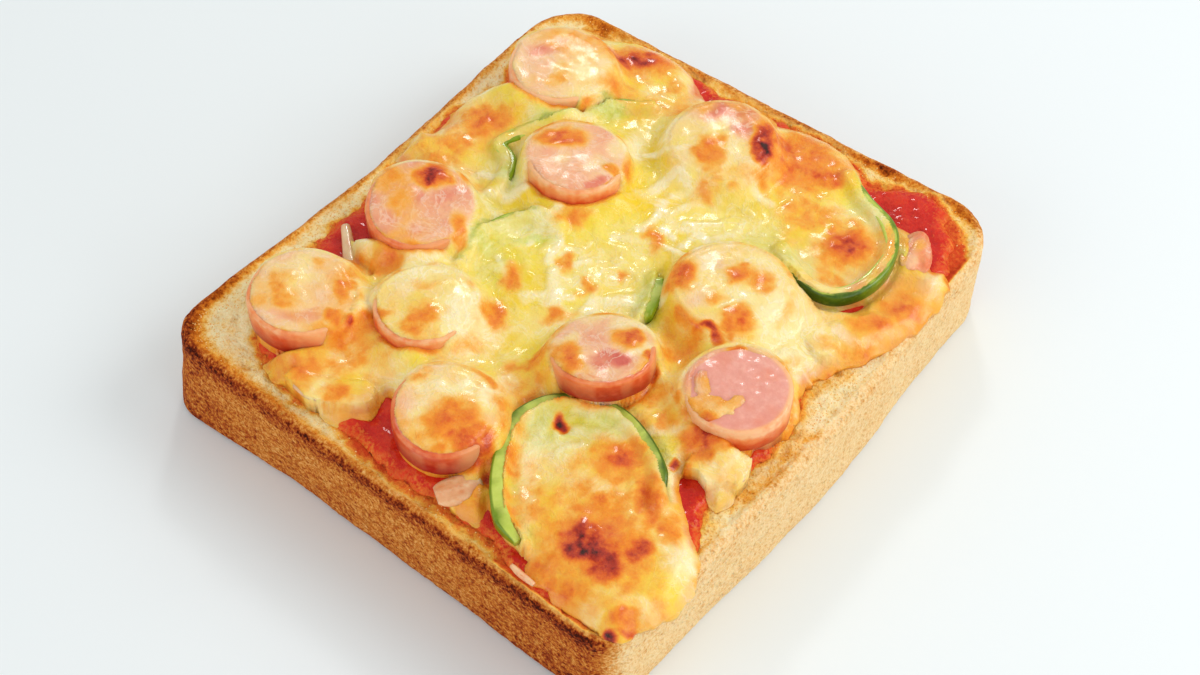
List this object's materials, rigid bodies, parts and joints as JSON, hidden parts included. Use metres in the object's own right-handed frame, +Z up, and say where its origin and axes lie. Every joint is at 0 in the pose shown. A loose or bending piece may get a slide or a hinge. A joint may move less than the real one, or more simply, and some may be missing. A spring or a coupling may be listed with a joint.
{
  "type": "bread pizza",
  "caption": "Thick square slice of toasted loaf under tomato sauce and melted browned cheese, with sausage coins, green pepper rings and onion slivers.",
  "frame": {"origin": "middle of the underside of the bread, on the surface it rests on", "axes": "+Z up out of the topping, +Y along the longer side of the slice away from the well browned crust, +X towards the pale crust"},
  "size_m": [0.1256, 0.1364, 0.0369],
  "materials": {
    "toasted_bread": "matte toasted crust, fine pits",
    "tomato_sauce": "wet, slightly grainy",
    "melted_cheese": "soft gloss, browned in spots",
    "sausage_meat": "moist cut face, browned rim",
    "green_pepper": "glossy skin, pale flesh",
    "onion": "soft and translucent"
  },
  "bodies": {
    "root": {"bread": "toasted_bread", "sauce": "tomato_sauce", "cheese": "melted_cheese", "sausage_01": "sausage_meat", "sausage_02": "sausage_meat", "sausage_03": "sausage_meat", "sausage_04": "sausage_meat", "sausage_05": "sausage_meat", "sausage_06": "sausage_meat", "sausage_07": "sausage_meat", "sausage_08": "sausage_meat", "sausage_09": "sausage_meat", "sausage_10": "sausage_meat", "sausage_scrap": "sausage_meat", "pepper_ring_front": "green_pepper", "pepper_ring_right": "green_pepper", "pepper_strip_back": "green_pepper", "pepper_arc_left": "green_pepper", "pepper_end_middle": "green_pepper", "onion_1": "onion", "onion_2": "onion", "onion_3": "onion", "onion_4": "onion", "onion_5": "onion", "onion_6": "onion", "onion_7": "onion"}
  },
  "joints": []
}
